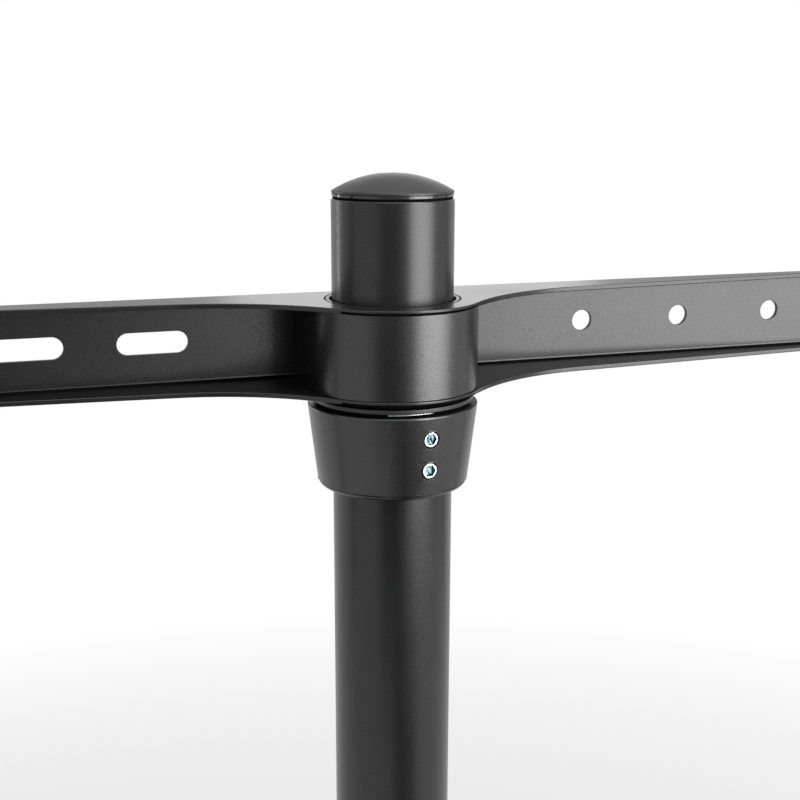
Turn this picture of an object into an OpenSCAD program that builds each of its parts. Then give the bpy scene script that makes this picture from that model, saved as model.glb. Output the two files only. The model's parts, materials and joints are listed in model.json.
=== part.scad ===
// Column television stand: glass base, round column, one glass shelf and a
// swivelling, height-adjustable mounting bar with two television rails.
// Millimetres, +Z up, the television hangs on the -Y side of the column.
// The origin lies on the column's axis, at floor level.

/* [Column] */
// Outside diameter of the column tube
column_d = 50; // [46:0.5:54]
// Wall thickness of the column tube
column_wall = 2; // [1.5:0.1:3]
// Height of the tube's upper end above the floor
column_top = 1200; // [1150:10:1400]

/* [Column cap] */
// Height of the recessed band between the tube and the dome
cap_band_h = 2.4; // [1:0.1:4]
// How far the band lies inside the tube's surface
cap_band_inset = 1.1; // [0.4:0.1:1.4]
// How far the dome's edge lies inside the tube's surface
cap_rim_inset = 0.26; // [0:0.02:0.38]
// Height of the dome's upright edge
cap_rim_h = 0.3; // [0.2:0.1:2]
// Rise of the dome above its upright edge
cap_rise = 7.1; // [4:0.1:12]
// Depth of the cap's plug inside the tube
cap_plug_depth = 14; // [6:1:24]
// Wall thickness of the cap's plug
cap_plug_wall = 2; // [1:0.1:3]

/* [Swivel bar] */
// Distance from the tube's upper end down to the bar's upper face
head_drop = 40.5; // [30:0.5:120]
// Length of the bar from end to end
bar_length = 650; // [640:5:760]
// Outside height of the bar's channel section
bar_height = 38; // [34:0.5:46]
// Sheet thickness of the bar
bar_wall = 2; // [1.5:0.1:3]
// Outside radius of the bends between the bar's web and its flanges
bar_bend_r = 3.5; // [3.2:0.1:5]
// Distance from the column's surface to the bar's web
web_standoff = 2.4; // [2.3:0.1:5]
// Depth of the flanges where the taper starts
arm_depth = 19.9; // [17:0.1:24]
// Distance from the column's axis to where that depth is measured
taper_x = 100; // [96:1:120]
// Angle at which the flanges taper towards the ends
taper_angle = 4.6; // [4:0.1:7]
// Depth of the flanges at the ends of the bar
arm_end_depth = 11; // [10:0.1:14]
// Chamfer at the flanges' outer corners
arm_chamfer = 4; // [1:0.5:6]
// Radius of the hollow curve between the arms and the round middle
arm_fillet_r = 88; // [70:1:110]
// How far the flanges stand out past the sleeve
plate_lip = 0.7; // [0.3:0.1:3]

/* [Bar holes] */
// Distance from the bar's upper face down to the line of the holes
hole_drop = 18.5; // [17:0.5:21]
// Diameter of the round holes
hole_d = 9.4; // [8.6:0.1:11]
// Distance from the column's axis to the first round hole
hole_first = 100; // [90:1:110]
// Number of round holes, and of slots
hole_count = 5; // [3:1:5]
// Width of the slots
slot_w = 9.2; // [8.6:0.1:11]
// Length of the slots from end to end
slot_length = 29; // [24:0.5:34]
// How much nearer to the column each slot's middle lies than its counterpart among the holes
slot_shift = 5.5; // [0:0.5:8]

/* [Sleeve and bushes] */
// Distance from the column's surface to the outside of the sleeve
sleeve_standoff = 10.3; // [9.5:0.1:14]
// Sheet thickness of the sleeve
sleeve_wall = 2; // [1.5:0.1:2.5]
// Wall thickness of both bushes
bush_wall = 1.94; // [1.5:0.02:2.1]
// How far the upper bush's rim stands out past its wall
bush_rim_lip = 1; // [0.5:0.1:1.4]
// Length of each bush
bush_length = 14; // [8:0.5:16]
// Thickness of each bush's inner flange
bush_flange_t = 2; // [1:0.1:3]
// How far each bush's inner flange stands out past its wall
bush_flange_lip = 3; // [2:0.1:3.5]

/* [Thrust ring and stop] */
// Height of the thrust ring's upper neck
ring_upper_h = 1.4; // [1:0.1:4]
// Thickness of the thrust ring's rim
ring_rim_h = 1.8; // [1:0.1:4]
// Height of the thrust ring's lower neck
ring_lower_h = 1.3; // [1:0.1:4]
// Distance from the column's surface to the edge of the rim
ring_rim_standoff = 8.5; // [7.5:0.1:12]
// Distance from the column's surface to the edge of the necks
ring_neck_standoff = 7; // [6.9:0.1:7.4]
// Diameter of the stop pin
stop_pin_d = 3; // [2:0.1:3.2]
// Metal left between the lower bush and the slot that the stop pin runs in
stop_wall = 1; // [0.8:0.1:1.2]
// Angle of the stop pin from the middle of the rear
stop_angle = -45; // [-60:5:-30]
// Length of the stop pin inside the collar
stop_pin_depth = 9; // [5:0.5:14]
// Angle that the bar turns to each side before it meets the stop
swivel_limit = 35; // [15:1:60]

/* [Clamp collar] */
// Height of the clamp collar
collar_h = 35; // [32:0.5:60]
// Distance from the column's surface to the collar's upper edge
collar_top_standoff = 10.5; // [9:0.1:14]
// Distance from the column's surface to the collar's lower edge
collar_bottom_standoff = 6.2; // [5:0.1:8]
// Radius of the collar's lower edge
collar_round = 2.2; // [1:0.1:3]
// Distance from the collar's upper face to the upper set screw
collar_screw_drop = 9.5; // [8:0.1:12]
// Distance between the two set screws
collar_screw_pitch = 13.1; // [10:0.1:15]
// Angle of the set screws from the middle of the rear
collar_screw_angle = 9.1; // [0:0.1:30]
// Diameter of every set screw
set_screw_d = 6; // [5:0.1:8]
// Length of the collar's set screws
set_screw_length = 7.2; // [5:0.1:7.5]
// Width across the flats of the set screws' sockets
set_screw_key = 3; // [2:0.1:3.5]
// Depth of the set screws' sockets
set_screw_socket = 3; // [1.5:0.1:4]

/* [Television rails] */
// Width of each rail
rail_w = 30; // [26:0.5:36]
// Sheet thickness of the rails
rail_wall = 2; // [1.5:0.1:3]
// Outside radius of the rails' bends
rail_bend_r = 3; // [2.5:0.1:4]
// Distance from the bar's television side to the rails' television side
rail_standoff = 16; // [14:0.5:24]
// How far the rails' flanges reach round the bar
rail_hook = 6; // [4:0.5:8]
// Distance from each end of the bar to the middle of its rail
rail_inset = 25; // [22:0.5:30]
// Distance between neighbouring screw holes of a rail
rail_hole_pitch = 50; // [48:1:52]
// Number of screw holes above and below the middle of each rail
rail_hole_count = 4; // [2:1:4]
// Distance from each rail's last screw hole to its end
rail_end = 20; // [10:1:40]
// Diameter of the television screw holes
rail_hole_d = 8.4; // [6.4:0.1:9]
// Diameter of the hole that lets the key reach the rail bolt
rail_access_d = 17; // [15:0.5:20]
// Thickness of the saddle plate inside each rail
saddle_t = 3; // [2:0.5:4]
// Height of the saddle plate
saddle_h = 60; // [50:1:80]

/* [Rail fasteners] */
// Diameter of the rail bolts
rail_bolt_d = 8; // [6:0.5:8]
// Diameter of the rail bolts' heads
rail_head_d = 14; // [12:0.5:14]
// Height of the rail bolts' heads
rail_head_h = 5; // [4:0.1:6]
// How far the rail bolts stand out of their nuts
rail_bolt_end = 2; // [1:0.1:4]
// Width across the flats of the bolts' sockets
bolt_key = 5; // [3:0.5:6]
// Depth of the bolts' sockets
bolt_socket = 2.5; // [1.5:0.1:3.5]
// Thickness of the large washers
washer_t = 1.6; // [1:0.1:2]
// Diameter of the large washers
washer_d = 16; // [15.5:0.5:20]
// Width across the flats of the large nuts
nut_key = 13; // [12:0.5:15]
// Height of the large nuts
nut_h = 6.5; // [5:0.1:8]

/* [Glass base] */
// Width of the base plate
base_w = 700; // [680:10:900]
// Depth of the base plate
base_depth = 460; // [400:10:600]
// Thickness of the base plate
base_t = 10; // [8:1:12]
// Corner radius of the base plate
base_corner_r = 60; // [30:5:90]
// Height of the rubber feet
foot_h = 16; // [14:1:30]
// Diameter of the rubber feet
foot_d = 34; // [20:1:50]
// Distance from the base plate's edges to the middles of the feet
foot_inset = 60; // [45:1:80]
// Diameter of the middle hole in the base plate
base_hole_d = 36; // [20:1:40]
// Clearance round each bolt in the base plate, where its bush sits
base_bush_wall = 1.8; // [1:0.1:3]

/* [Column foot] */
// Diameter of the steel foot flange
flange_d = 144; // [140:1:150]
// Thickness of the foot flange
flange_t = 6; // [4:0.5:10]
// Thickness of the floor that the tube stands on
flange_floor = 3; // [2:0.5:3.5]
// Wall thickness of the foot flange's hub
hub_wall = 5; // [3:0.5:8]
// Height of the hub above the foot flange
hub_h = 34; // [15:1:36]
// Diameter of the circle of the base bolts
base_pcd = 110; // [104:1:114]
// Diameter of the base bolts
base_bolt_d = 8; // [6:0.5:8]
// Diameter of the base bolts' heads
base_head_d = 14; // [12:0.5:16]
// Height of the base bolts' heads
base_head_h = 5; // [4:0.1:5.5]
// Length of the base bolts under the head
base_bolt_length = 35; // [34:1:37]
// Thickness of the soft gaskets
gasket_t = 1.5; // [1:0.1:2]
// Thickness of the plate under the glass
counter_t = 4; // [3:0.5:5]
// Diameter of the cover at the glass
cover_d = 172; // [170:1:190]
// Height of the cover
cover_h = 54; // [52:1:70]
// Height of the cover's upright edge
cover_edge_h = 4; // [3:0.5:8]
// Wall thickness of the cover
cover_wall = 2; // [1.5:0.1:2.5]

/* [Shelf] */
// Height of the shelf's upper face above the floor
shelf_z = 520; // [480:5:560]
// Width of the shelf
shelf_w = 460; // [400:10:540]
// Depth of the shelf
shelf_depth = 290; // [280:5:360]
// Thickness of the shelf
shelf_t = 8; // [6:1:10]
// Corner radius of the shelf
shelf_corner_r = 40; // [15:5:60]
// Distance from the column's axis to the shelf's rear edge
shelf_rear = 62; // [58:1:90]
// Clearance between the column and the hole in the shelf
shelf_hole_gap = 4; // [2:0.5:8]
// Width of the bracket plate under the shelf
tray_w = 240; // [200:5:300]
// Depth of the bracket plate
tray_depth = 220; // [200:5:240]
// Thickness of the bracket plate
tray_t = 4; // [3:0.5:6]
// Corner radius of the bracket plate
tray_corner_r = 20; // [5:1:30]
// Distance from the column's axis to the bracket plate's rear edge
tray_rear = 46; // [42:1:52]
// Wall thickness of the bracket's hub
shelf_hub_wall = 8; // [7.8:0.1:12]
// Height of the bracket's hub below the plate
shelf_hub_h = 45; // [38:1:60]
// Distance from the plate's edges to the shelf screws
shelf_screw_inset = 20; // [16:1:24]
// Diameter of the shelf screws
shelf_screw_d = 6; // [5:0.5:6]
// Diameter of the shelf screws' flat caps
shelf_cap_d = 20; // [16:0.5:26]
// Height of the shelf screws' flat caps
shelf_cap_h = 3; // [2:0.1:5]
// How far the shelf screws stand out of their nuts
shelf_screw_end = 2; // [1:0.1:4]
// Thickness of the soft pads under the shelf
pad_t = 1.5; // [1:0.1:4]
// Diameter of the soft pads under the shelf
pad_d = 28; // [20:1:32]
// Width across the flats of the shelf nuts
small_nut_key = 10; // [9:0.1:12]
// Height of the shelf nuts
small_nut_h = 5; // [4:0.1:7]
// Distance from the plate down to the hub's upper set screw
hub_screw_drop = 14; // [10:0.5:18]
// Distance between the hub's two set screws
hub_screw_pitch = 16; // [12:0.5:18]

/* [Cable clips] */
// Height of the upper clip's middle above the floor
clip_upper_z = 690; // [680:5:700]
// Height of the lower clip's middle above the floor
clip_lower_z = 300; // [200:5:310]
// Height of each clip
clip_h = 14; // [8:1:20]
// Wall thickness of the clips
clip_wall = 2.6; // [2:0.1:4]
// Bore of each clip's cable loop
clip_loop_d = 15; // [10:0.5:20]
// Width of the slit that the cable is pushed through
clip_slit = 3; // [2:0.5:5]
// Angle that each clip leaves open at the front of the column
clip_mouth_angle = 100; // [70:5:140]

/* [Clearances] */
// Radial clearance of the parts that slide or turn on the column
running_gap = 0.06; // [0.03:0.01:0.1]
// Clearance of parts that are pushed or welded into each other
seat_gap = 0.05; // [0.03:0.01:0.1]
// Clearance of screws and pins in plain holes
hole_gap = 0.3; // [0.2:0.05:0.4]
// Clearance between faces that turn on each other
face_gap = 0.1; // [0.05:0.05:0.3]
// Clearance between the cover and the column
cover_gap = 0.4; // [0.2:0.1:1]

/* [Hidden] */
$fn = 96;
// How far every cut runs past the face that it opens
overrun = 1;
// How far curves cut into the lines that they run into, so that they meet cleanly
blend_overlap = 0.02;
column_r = column_d / 2;
tube_bore_r = column_r - column_wall;

// Heights of the base and the column foot
glass_top = foot_h + base_t;
flange_z = glass_top + gasket_t;
flange_top = flange_z + flange_t;
tube_z = flange_z + flange_floor;
counter_top = foot_h - gasket_t;
counter_z = counter_top - counter_t;
hub_r = column_r + hub_wall;
flange_r = flange_d / 2;
gasket_r = flange_r + gasket_t;
base_hole_r = base_hole_d / 2;
base_bolt_r = base_bolt_d / 2;
base_bush_r = base_bolt_r + hole_gap + base_bush_wall;
washer_r = washer_d / 2;
nut_r = nut_key / 2 / cos(30);
bolt_key_r = bolt_key / 2 / cos(30);

// Swivel bar
head_z = column_top - head_drop;
bar_z = head_z - bar_height;
hole_z = head_z - hole_drop;
bar_half = bar_length / 2;
rail_x = bar_half - rail_inset;
hole_pitch = (rail_x - hole_first) / (hole_count - 1);
slot_start = hole_first - slot_shift - slot_length / 2;
web_rear = -column_r - web_standoff;
tv_face = web_rear - bar_wall;
bend_inner_r = bar_bend_r - bar_wall;
sleeve_r = column_r + sleeve_standoff;
bulge_r = sleeve_r + plate_lip;
arm_end_y = tv_face + arm_end_depth;
level_x = taper_x + (arm_depth - arm_end_depth) / tan(taper_angle);
// The taper's normal and direction, and its distance from the column's axis
taper_normal = [sin(taper_angle), cos(taper_angle)];
taper_along = [cos(taper_angle), -sin(taper_angle)];
taper_offset = taper_normal * [taper_x, tv_face + arm_depth];
// Middle of the hollow curve, which touches both the taper and the bulge
fillet_rise = taper_offset + arm_fillet_r;
fillet_run = sqrt(pow(bulge_r + arm_fillet_r, 2) - pow(fillet_rise, 2));
fillet_mid = taper_normal * fillet_rise + taper_along * fillet_run;
fillet_low = fillet_mid - taper_normal * arm_fillet_r;
fillet_high = fillet_mid * bulge_r / (bulge_r + arm_fillet_r);

// Bushes, thrust ring and stop
bush_bore_r = column_r + running_gap;
bush_r = bush_bore_r + bush_wall;
bush_rim_r = bush_r + bush_rim_lip;
bush_hole_depth = bar_wall + bend_inner_r + seat_gap;
ring_top = bar_z - face_gap;
ring_rim_top = ring_top - ring_upper_h;
ring_rim_z = ring_rim_top - ring_rim_h;
collar_top = ring_rim_z - ring_lower_h;
ring_rim_r = column_r + ring_rim_standoff;
ring_neck_r = column_r + ring_neck_standoff;
stop_pin_r = stop_pin_d / 2;
stop_slot_r = stop_pin_r + hole_gap;
stop_path_r = bush_r + seat_gap + stop_wall + stop_slot_r;
stop_pin_top = bar_z + bar_wall - hole_gap;

// Clamp collar and set screws
collar_z = collar_top - collar_h;
collar_top_r = column_r + collar_top_standoff;
collar_bottom_r = column_r + collar_bottom_standoff;
collar_upper_screw_z = collar_top - collar_screw_drop;
collar_lower_screw_z = collar_upper_screw_z - collar_screw_pitch;
set_screw_r = set_screw_d / 2;
collar_screw_turn = 90 + collar_screw_angle;

// Television rails
rail_front = tv_face - rail_standoff;
rail_rear = tv_face + rail_hook;
rail_length = 2 * (rail_hole_count * rail_hole_pitch + rail_end);
rail_z = hole_z - rail_length / 2;
rail_bolt_r = rail_bolt_d / 2;
saddle_front = tv_face - saddle_t;
saddle_w = rail_w - 2 * rail_wall - 2 * seat_gap;
nut_front = web_rear + washer_t;
rail_bolt_rear = nut_front + nut_h + rail_bolt_end;

// Shelf
shelf_under = shelf_z - shelf_t;
tray_top = shelf_under - pad_t;
tray_z = tray_top - tray_t;
shelf_hub_z = tray_z - shelf_hub_h;
shelf_hub_r = column_r + shelf_hub_wall;
shelf_screw_r = shelf_screw_d / 2;
shelf_screw_x = tray_w / 2 - shelf_screw_inset;
shelf_screw_rear = tray_rear - shelf_screw_inset;
shelf_screw_front = tray_rear - tray_depth + shelf_screw_inset;
shelf_screw_places = [
    for (x = [-shelf_screw_x, shelf_screw_x], y = [shelf_screw_front, shelf_screw_rear]) [x, y]
];
small_nut_r = small_nut_key / 2 / cos(30);
shelf_nut_z = tray_z - small_nut_h;
hub_upper_screw_z = tray_z - hub_screw_drop;
hub_lower_screw_z = hub_upper_screw_z - hub_screw_pitch;

// Cable clips
clip_bore_r = column_r + seat_gap;
clip_r = clip_bore_r + clip_wall;
clip_loop_r = clip_loop_d / 2;
clip_loop_y = clip_bore_r + clip_wall + clip_loop_r;

// Colours
satin_black = "#2e2f30";
plastic_black = "#232324";
rubber_black = "#1a1a1b";
nylon_black = "#2a2a2b";
zinc = "#aebcc4";
glass_black = "#101214";

// Rectangle with round corners, from its lower left corner
module rounded_rect(w, h, r) {
    translate([r, 0]) square([w - 2 * r, h]);
    translate([0, r]) square([w, h - 2 * r]);
    for (x = [r, w - r], y = [r, h - r]) translate([x, y]) circle(r);
}

// Round bar along Y, from y0 to y1
module y_bar(r, y0, y1) {
    translate([0, y1, 0]) rotate([90, 0, 0]) cylinder(r = r, h = y1 - y0);
}

// Ring or disc from z0 to z1
module ring(outer_r, inner_r, z0, z1) {
    translate([0, 0, z0]) difference() {
        cylinder(r = outer_r, h = z1 - z0);
        translate([0, 0, -overrun]) cylinder(r = inner_r, h = z1 - z0 + 2 * overrun);
    }
}

// Places its children on the base bolts' circle
module at_base_bolts() {
    for (turn = [45:90:315]) rotate([0, 0, turn]) translate([base_pcd / 2, 0, 0]) children();
}

// Places its children at both rail bolts
module at_rail_bolts() {
    for (x = [-rail_x, rail_x]) translate([x, 0, hole_z]) children();
}

// Places its children at the shelf screws
module at_shelf_screws() {
    for (place = shelf_screw_places) translate([place[0], place[1], 0]) children();
}

module column_tube() {
    color(satin_black) ring(column_r, tube_bore_r, tube_z, column_top);
}

// The dome is the part of a ball that stands above the cap's upright edge
module column_cap() {
    rim_r = column_r - cap_rim_inset;
    band_r = column_r - cap_band_inset;
    plug_r = tube_bore_r - seat_gap;
    ball_r = (rim_r * rim_r + cap_rise * cap_rise) / (2 * cap_rise);
    dome_z = cap_band_h + cap_rim_h;
    color(plastic_black) translate([0, 0, column_top]) rotate_extrude() difference() {
        union() {
            intersection() {
                translate([0, dome_z + cap_rise - ball_r]) circle(ball_r);
                translate([0, dome_z]) square([rim_r, cap_rise]);
            }
            translate([0, cap_band_h]) square([rim_r, cap_rim_h]);
            square([band_r, cap_band_h]);
            translate([plug_r - cap_plug_wall, -cap_plug_depth]) square([cap_plug_wall, cap_plug_depth]);
        }
        translate([-ball_r, -cap_plug_depth]) square([ball_r, 2 * ball_r + cap_plug_depth]);
    }
}

// Plan of the bar: two tapering arms that sweep into a round middle
module bar_plan() {
    half = [
        [bar_half, tv_face], [bar_half, arm_end_y - arm_chamfer], [bar_half - arm_chamfer, arm_end_y],
        [level_x, arm_end_y], fillet_low, fillet_high
    ];
    other = [for (i = [len(half) - 1:-1:0]) [-half[i][0], half[i][1]]];
    difference() {
        polygon(concat(half, other));
        for (side = [-1, 1])
            translate([side * fillet_mid[0], fillet_mid[1]]) circle(arm_fillet_r + blend_overlap);
    }
    intersection() {
        circle(bulge_r);
        translate([-bulge_r, tv_face]) square([2 * bulge_r, bulge_r - tv_face]);
    }
}

// Side view of the bar's channel, or of the hollow inside it
module channel_side(inset, r) {
    depth = bulge_r - tv_face + 2 * bar_bend_r;
    height = bar_height - 2 * inset;
    translate([tv_face + inset, bar_z + inset]) rounded_rect(depth, height, r);
}

// Curved slot that limits the swivel, seen in plan
module stop_slot() {
    outer_r = stop_path_r + stop_slot_r;
    half_w = outer_r * tan(swivel_limit);
    far = 2 * outer_r;
    rotate(stop_angle) {
        intersection() {
            difference() {
                circle(outer_r);
                circle(stop_path_r - stop_slot_r);
            }
            polygon([[0, 0], [-half_w, outer_r], [-half_w, far], [half_w, far], [half_w, outer_r]]);
        }
        for (turn = [-swivel_limit, swivel_limit])
            rotate(turn) translate([0, stop_path_r]) circle(stop_slot_r + blend_overlap);
    }
}

// Places its children on the stop pin's axis
module at_stop_pin() {
    rotate([0, 0, stop_angle]) translate([0, stop_path_r, 0]) children();
}

module bar_holes() {
    for (i = [0:hole_count - 1]) {
        translate([-hole_first - i * hole_pitch, 0, hole_z])
            y_bar(hole_d / 2, tv_face - overrun, web_rear + overrun);
        translate([slot_start + i * hole_pitch, web_rear + overrun, hole_z - slot_w / 2])
            rotate([90, 0, 0]) linear_extrude(bar_wall + 2 * overrun) {
                translate([slot_w / 2, slot_w / 2]) circle(slot_w / 2);
                translate([slot_length - slot_w / 2, slot_w / 2]) circle(slot_w / 2);
                translate([slot_w / 2, 0]) square([slot_length - slot_w, slot_w]);
            }
    }
}

module swivel_bar() {
    color(satin_black) difference() {
        intersection() {
            translate([0, 0, bar_z]) linear_extrude(bar_height) bar_plan();
            translate([-bar_half, 0, 0]) rotate([90, 0, 90]) linear_extrude(bar_length) difference() {
                channel_side(0, bar_bend_r);
                channel_side(bar_wall, bend_inner_r);
            }
        }
        translate([0, 0, head_z - bush_hole_depth])
            cylinder(r = bush_rim_r + seat_gap, h = bush_hole_depth + overrun);
        translate([0, 0, bar_z - overrun]) cylinder(r = bush_r + seat_gap, h = bush_hole_depth + overrun);
        translate([0, 0, bar_z - overrun]) linear_extrude(bar_wall + 2 * overrun) stop_slot();
        bar_holes();
    }
}

// Plan of the sleeve's outside or inside, open towards the bar's web
module sleeve_plan(r, front) {
    intersection() {
        circle(r);
        translate([-r, 0]) square([2 * r, r]);
    }
    translate([-r, front]) square([2 * r, -front]);
}

module bar_sleeve() {
    color(satin_black) intersection() {
        translate([0, 0, bar_z + bar_wall]) linear_extrude(bar_height - 2 * bar_wall) difference() {
            sleeve_plan(sleeve_r, web_rear);
            sleeve_plan(sleeve_r - sleeve_wall, web_rear - overrun);
        }
        translate([-sleeve_r - overrun, 0, 0]) rotate([90, 0, 90])
            linear_extrude(2 * sleeve_r + 2 * overrun) channel_side(bar_wall, bend_inner_r);
    }
}

// Flange of a bush, inside the bar, with a flat that keys it against the web
module bush_flange(z) {
    flange_r = bush_r + bush_flange_lip;
    front = web_rear + bend_inner_r + seat_gap;
    intersection() {
        ring(flange_r, bush_bore_r, z, z + bush_flange_t);
        translate([-flange_r, front, z]) cube([2 * flange_r, flange_r - front, bush_flange_t]);
    }
}

module upper_bush() {
    color(nylon_black) {
        ring(bush_r, bush_bore_r, head_z - bush_length, head_z);
        ring(bush_rim_r, bush_bore_r, head_z - bar_wall, head_z);
        bush_flange(head_z - bar_wall - seat_gap - bush_flange_t);
    }
}

module lower_bush() {
    color(nylon_black) {
        ring(bush_r, bush_bore_r, bar_z, bar_z + bush_length);
        bush_flange(bar_z + bar_wall + seat_gap);
    }
}

module thrust_ring() {
    bore_r = column_r + hole_gap;
    color(plastic_black) difference() {
        union() {
            ring(ring_neck_r, bore_r, collar_top, ring_top);
            ring(ring_rim_r, bore_r, ring_rim_z, ring_rim_top);
        }
        at_stop_pin() translate([0, 0, collar_top - overrun])
            cylinder(r = stop_pin_r + seat_gap, h = ring_top - collar_top + 2 * overrun);
    }
}

module stop_pin() {
    color(zinc) at_stop_pin() translate([0, 0, collar_top - stop_pin_depth])
        cylinder(r = stop_pin_r, h = stop_pin_top - collar_top + stop_pin_depth);
}

// Hole along Y for a set screw, turned round the column
module screw_hole(turn, z, reach) {
    rotate([0, 0, turn - 90]) translate([0, 0, z]) y_bar(set_screw_r + seat_gap, 0, reach);
}

module clamp_collar() {
    round_r = collar_bottom_r - collar_round;
    lean = (collar_top_r - collar_bottom_r) / collar_h;
    edge_r = collar_bottom_r + lean * collar_round;
    color(satin_black) difference() {
        translate([0, 0, collar_z]) rotate_extrude() difference() {
            union() {
                polygon([
                    [0, 0], [round_r, 0], [round_r, collar_round], [edge_r, collar_round],
                    [collar_top_r, collar_h], [0, collar_h]
                ]);
                intersection() {
                    translate([round_r, collar_round]) circle(collar_round);
                    translate([round_r - overrun, 0]) square([collar_round + overrun, collar_round]);
                }
            }
            translate([-overrun, -overrun])
                square([column_r + running_gap + overrun, collar_h + 2 * overrun]);
        }
        screw_hole(collar_screw_turn, collar_upper_screw_z, collar_top_r + overrun);
        screw_hole(collar_screw_turn, collar_lower_screw_z, collar_top_r + overrun);
        at_stop_pin() translate([0, 0, collar_top - stop_pin_depth])
            cylinder(r = stop_pin_r + seat_gap, h = stop_pin_depth + overrun);
    }
}

// Set screw with a six-sided socket, pointing at the column
module set_screw(turn, z, length) {
    tip = column_r + running_gap;
    rotate([0, 0, turn - 90]) translate([0, 0, z]) difference() {
        y_bar(set_screw_r, tip, tip + length);
        translate([0, tip + length + overrun, 0]) rotate([90, 0, 0])
            cylinder(r = set_screw_key / 2 / cos(30), h = set_screw_socket + overrun, $fn = 6);
    }
}

module set_screw_upper() {
    color(zinc) set_screw(collar_screw_turn, collar_upper_screw_z, set_screw_length);
}

module set_screw_lower() {
    color(zinc) set_screw(collar_screw_turn, collar_lower_screw_z, set_screw_length);
}

// One rail: a channel with its back to the television, notched round the bar
module tv_rail(x) {
    depth = rail_rear - rail_front;
    inner_w = rail_w - 2 * rail_wall;
    color(satin_black) difference() {
        translate([x - rail_w / 2, rail_front, rail_z]) linear_extrude(rail_length) intersection() {
            difference() {
                rounded_rect(rail_w, depth + 2 * rail_bend_r, rail_bend_r);
                translate([rail_wall, rail_wall])
                    rounded_rect(inner_w, depth + 2 * rail_bend_r, rail_bend_r - rail_wall);
            }
            square([rail_w, depth]);
        }
        translate([x - rail_w / 2 - overrun, tv_face, bar_z - hole_gap])
            cube([rail_w + 2 * overrun, rail_hook + overrun, bar_height + 2 * hole_gap]);
        for (side = [-1, 1], i = [1:rail_hole_count])
            translate([x, 0, hole_z + side * i * rail_hole_pitch])
                y_bar(rail_hole_d / 2, rail_front - overrun, rail_front + rail_wall + overrun);
        translate([x, 0, hole_z])
            y_bar(rail_access_d / 2, rail_front - overrun, rail_front + rail_wall + overrun);
    }
}

module tv_rail_left() {
    tv_rail(-rail_x);
}

module tv_rail_right() {
    tv_rail(rail_x);
}

module rail_saddles() {
    color(satin_black) at_rail_bolts() difference() {
        translate([-saddle_w / 2, saddle_front, -saddle_h / 2]) cube([saddle_w, saddle_t, saddle_h]);
        y_bar(rail_bolt_r + hole_gap, saddle_front - overrun, tv_face + overrun);
    }
}

module rail_bolts() {
    color(zinc) at_rail_bolts() difference() {
        union() {
            y_bar(rail_bolt_r, saddle_front, rail_bolt_rear);
            y_bar(rail_head_d / 2, saddle_front - rail_head_h, saddle_front);
        }
        translate([0, saddle_front - rail_head_h + bolt_socket, 0]) rotate([90, 0, 0])
            cylinder(r = bolt_key_r, h = bolt_socket + overrun, $fn = 6);
    }
}

module rail_washers() {
    color(zinc) at_rail_bolts() difference() {
        y_bar(washer_r, web_rear, nut_front);
        y_bar(rail_bolt_r + hole_gap, web_rear - overrun, nut_front + overrun);
    }
}

module rail_nuts() {
    color(zinc) at_rail_bolts() difference() {
        translate([0, nut_front + nut_h, 0]) rotate([90, 0, 0]) cylinder(r = nut_r, h = nut_h, $fn = 6);
        y_bar(rail_bolt_r + seat_gap, nut_front - overrun, nut_front + nut_h + overrun);
    }
}

module base_glass() {
    color(glass_black) difference() {
        translate([-base_w / 2, -base_depth / 2, foot_h]) linear_extrude(base_t)
            rounded_rect(base_w, base_depth, base_corner_r);
        translate([0, 0, foot_h - overrun]) cylinder(r = base_hole_r, h = base_t + 2 * overrun);
        at_base_bolts() translate([0, 0, foot_h - overrun])
            cylinder(r = base_bush_r + seat_gap, h = base_t + 2 * overrun);
    }
}

module base_feet() {
    x = base_w / 2 - foot_inset;
    y = base_depth / 2 - foot_inset;
    color(rubber_black) for (place = [[-x, -y], [0, -y], [x, -y], [-x, y], [0, y], [x, y]])
        translate([place[0], place[1], 0]) cylinder(r = foot_d / 2, h = foot_h);
}

module base_bushes() {
    color(nylon_black) at_base_bolts() ring(base_bush_r, base_bolt_r + hole_gap, foot_h, glass_top);
}

// Soft disc with the middle hole and the bolt holes
module gasket(z) {
    difference() {
        ring(gasket_r, base_hole_r, z, z + gasket_t);
        at_base_bolts() translate([0, 0, z - overrun])
            cylinder(r = base_bolt_r + hole_gap, h = gasket_t + 2 * overrun);
    }
}

module flange_gasket() {
    color(rubber_black) gasket(glass_top);
}

module counter_gasket() {
    color(rubber_black) gasket(counter_top);
}

module foot_flange() {
    color(satin_black) difference() {
        union() {
            translate([0, 0, flange_z]) cylinder(r = flange_r, h = flange_t);
            translate([0, 0, flange_z]) cylinder(r = hub_r, h = flange_t + hub_h);
        }
        translate([0, 0, flange_z - overrun]) cylinder(r = base_hole_r, h = flange_t + 2 * overrun);
        translate([0, 0, tube_z]) cylinder(r = column_r + seat_gap, h = flange_t + hub_h);
        at_base_bolts() translate([0, 0, flange_z - overrun])
            cylinder(r = base_bolt_r + hole_gap, h = flange_t + 2 * overrun);
    }
}

module counter_plate() {
    color(satin_black) difference() {
        ring(flange_r, base_hole_r, counter_z, counter_top);
        at_base_bolts() translate([0, 0, counter_z - overrun])
            cylinder(r = base_bolt_r + hole_gap, h = counter_t + 2 * overrun);
    }
}

module base_bolts() {
    color(zinc) at_base_bolts() translate([0, 0, counter_z]) {
        cylinder(r = base_bolt_r, h = base_bolt_length);
        translate([0, 0, -base_head_h]) difference() {
            cylinder(r = base_head_d / 2, h = base_head_h);
            translate([0, 0, -overrun]) cylinder(r = bolt_key_r, h = bolt_socket + overrun, $fn = 6);
        }
    }
}

module base_washers() {
    color(zinc) at_base_bolts() ring(washer_r, base_bolt_r + hole_gap, flange_top, flange_top + washer_t);
}

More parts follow.
